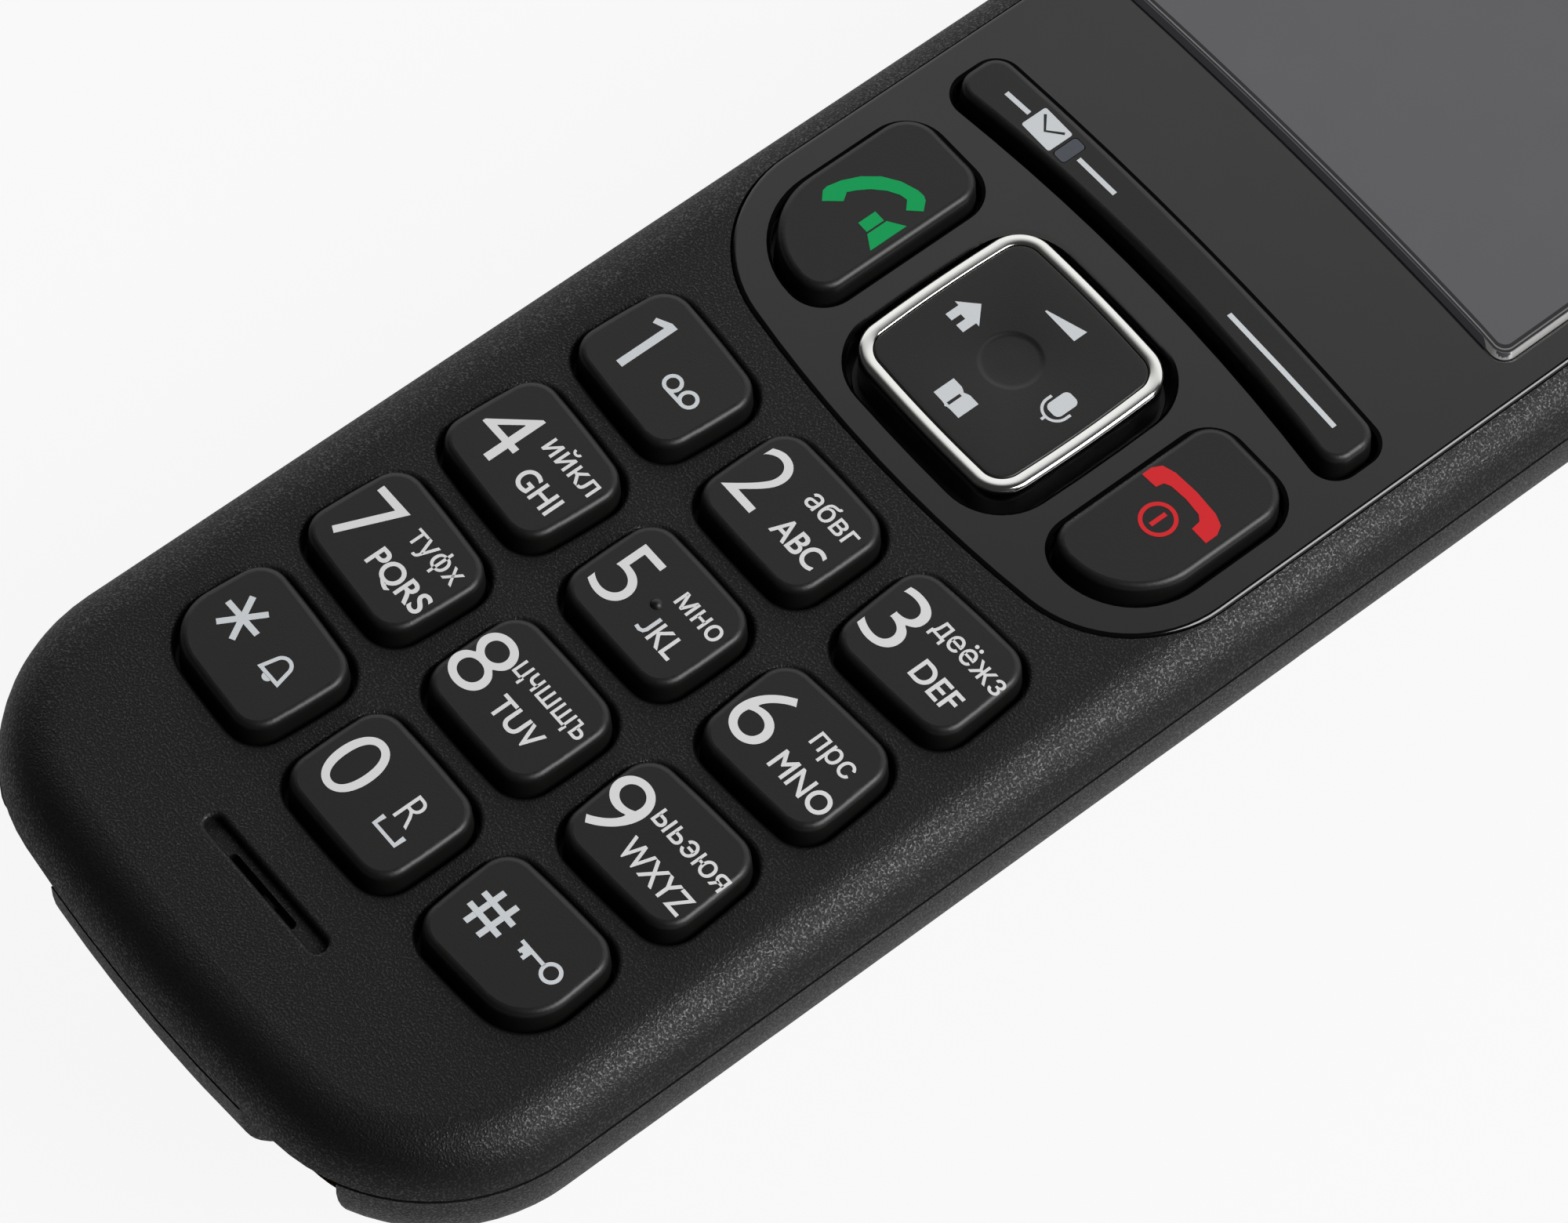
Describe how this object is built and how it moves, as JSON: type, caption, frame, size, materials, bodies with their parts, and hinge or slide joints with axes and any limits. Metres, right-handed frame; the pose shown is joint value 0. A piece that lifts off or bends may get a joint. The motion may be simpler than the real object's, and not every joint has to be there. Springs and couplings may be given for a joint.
{
  "type": "cordless telephone handset",
  "caption": "Slim black cordless telephone handset with number keys, four-way navigation key, call and end keys, softkey bar, display and a sliding battery cover.",
  "frame": {"origin": "middle of the back, on the surface that the handset lies on", "axes": "+Y to the earpiece end, +Z out of the keypad, +X to the right seen from the keypad"},
  "size_m": [0.05, 0.156, 0.0271],
  "materials": {
    "housing_black": "fine-textured black ABS",
    "fascia_black": "polished black",
    "key_black": "satin lacquered black keys",
    "print_white": "screen-printed white ink",
    "print_green": "screen-printed green ink",
    "print_red": "screen-printed red ink",
    "ring_chrome": "bright plated plastic",
    "window_clear": "clear acrylic over the grey display",
    "panel_grey": "unlit reflective display",
    "frame_white": "white light guide",
    "silicone_grey": "translucent silicone",
    "board_green": "solder mask",
    "steel": "plain sheet steel",
    "contact_gold": "plated spring contact",
    "foam_black": "closed-cell foam",
    "light_grey": "smoked light pipe",
    "led_white": "cast lens",
    "cell_wrap": "plain shrink sleeve",
    "speaker_black": "moulded frame"
  },
  "bodies": {
    "handset": {"backlight_frame": "frame_white", "battery_cell_left": "cell_wrap", "battery_cell_right": "cell_wrap", "battery_plates": "steel", "battery_springs": "steel", "charging_contacts": "contact_gold", "display_fascia": "fascia_black", "display_panel": "panel_grey", "display_window": "window_clear", "earpiece_gasket": "foam_black", "earpiece_speaker": "speaker_black", "front_housing": "housing_black", "housing_screws": "steel", "keypad_mat": "silicone_grey", "loudspeaker": "speaker_black", "loudspeaker_gasket": "foam_black", "main_board": "board_green", "message_led": "led_white", "mic_boot": "foam_black", "microphone": "steel", "rear_housing": "housing_black", "shield_can": "steel", "snap_domes": "steel"},
    "key_1": {"key_1": "key_black"},
    "key_2": {"key_2": "key_black"},
    "key_3": {"key_3": "key_black"},
    "key_4": {"key_4": "key_black"},
    "key_5": {"key_5": "key_black"},
    "key_6": {"key_6": "key_black"},
    "key_7": {"key_7": "key_black"},
    "key_8": {"key_8": "key_black"},
    "key_9": {"key_9": "key_black"},
    "key_star": {"key_star": "key_black"},
    "key_0": {"key_0": "key_black"},
    "key_hash": {"key_hash": "key_black"},
    "call_key": {"call_key": "key_black"},
    "end_key": {"end_key": "key_black"},
    "softkey_bar": {"softkey_bar": "key_black", "message_light": "light_grey"},
    "nav_actuator": {"nav_actuator": "speaker_black"},
    "nav_key": {"nav_key": "key_black", "nav_ring": "ring_chrome"},
    "battery_cover": {"battery_cover": "housing_black"}
  },
  "joints": [
    {"name": "key_1_press", "type": "slide", "parent": "handset", "child": "key_1", "axis": [0, 0, -1], "range_m": [0, 0.0008], "stiffness_N_per_m": 250, "springref_m": -0.0008},
    {"name": "key_2_press", "type": "slide", "parent": "handset", "child": "key_2", "axis": [0, 0, -1], "range_m": [0, 0.0008], "stiffness_N_per_m": 250, "springref_m": -0.0008},
    {"name": "key_3_press", "type": "slide", "parent": "handset", "child": "key_3", "axis": [0, 0, -1], "range_m": [0, 0.0008], "stiffness_N_per_m": 250, "springref_m": -0.0008},
    {"name": "key_4_press", "type": "slide", "parent": "handset", "child": "key_4", "axis": [0, 0, -1], "range_m": [0, 0.0008], "stiffness_N_per_m": 250, "springref_m": -0.0008},
    {"name": "key_5_press", "type": "slide", "parent": "handset", "child": "key_5", "axis": [0, 0, -1], "range_m": [0, 0.0008], "stiffness_N_per_m": 250, "springref_m": -0.0008},
    {"name": "key_6_press", "type": "slide", "parent": "handset", "child": "key_6", "axis": [0, 0, -1], "range_m": [0, 0.0008], "stiffness_N_per_m": 250, "springref_m": -0.0008},
    {"name": "key_7_press", "type": "slide", "parent": "handset", "child": "key_7", "axis": [0, 0, -1], "range_m": [0, 0.0008], "stiffness_N_per_m": 250, "springref_m": -0.0008},
    {"name": "key_8_press", "type": "slide", "parent": "handset", "child": "key_8", "axis": [0, 0, -1], "range_m": [0, 0.0008], "stiffness_N_per_m": 250, "springref_m": -0.0008},
    {"name": "key_9_press", "type": "slide", "parent": "handset", "child": "key_9", "axis": [0, 0, -1], "range_m": [0, 0.0008], "stiffness_N_per_m": 250, "springref_m": -0.0008},
    {"name": "key_star_press", "type": "slide", "parent": "handset", "child": "key_star", "axis": [0, 0, -1], "range_m": [0, 0.0008], "stiffness_N_per_m": 250, "springref_m": -0.0008},
    {"name": "key_0_press", "type": "slide", "parent": "handset", "child": "key_0", "axis": [0, 0, -1], "range_m": [0, 0.0008], "stiffness_N_per_m": 250, "springref_m": -0.0008},
    {"name": "key_hash_press", "type": "slide", "parent": "handset", "child": "key_hash", "axis": [0, 0, -1], "range_m": [0, 0.0008], "stiffness_N_per_m": 250, "springref_m": -0.0008},
    {"name": "call_key_press", "type": "slide", "parent": "handset", "child": "call_key", "axis": [0, 0, -1], "range_m": [0, 0.0008], "stiffness_N_per_m": 250, "springref_m": -0.0008},
    {"name": "end_key_press", "type": "slide", "parent": "handset", "child": "end_key", "axis": [0, 0, -1], "range_m": [0, 0.0008], "stiffness_N_per_m": 250, "springref_m": -0.0008},
    {"name": "softkey_rock", "type": "hinge", "parent": "handset", "child": "softkey_bar", "pos_m": [0, 0.00561, 0.0202], "axis": [0, 1, 0], "range_deg": [-1.6, 1.6], "stiffness_Nm_per_rad": 0.5},
    {"name": "nav_tilt_up_down", "type": "hinge", "parent": "handset", "child": "nav_actuator", "pos_m": [0, -0.0078, 0.0202], "axis": [1, 0, 0], "range_deg": [-2, 2], "stiffness_Nm_per_rad": 0.5},
    {"name": "nav_tilt_left_right", "type": "hinge", "parent": "nav_actuator", "child": "nav_key", "pos_m": [0, -0.0078, 0.02205], "axis": [0, 1, 0], "range_deg": [-2, 2], "stiffness_Nm_per_rad": 0.5},
    {"name": "battery_cover_slide", "type": "slide", "parent": "handset", "child": "battery_cover", "axis": [0, -1, 0], "range_m": [0, 0.01]}
  ]
}
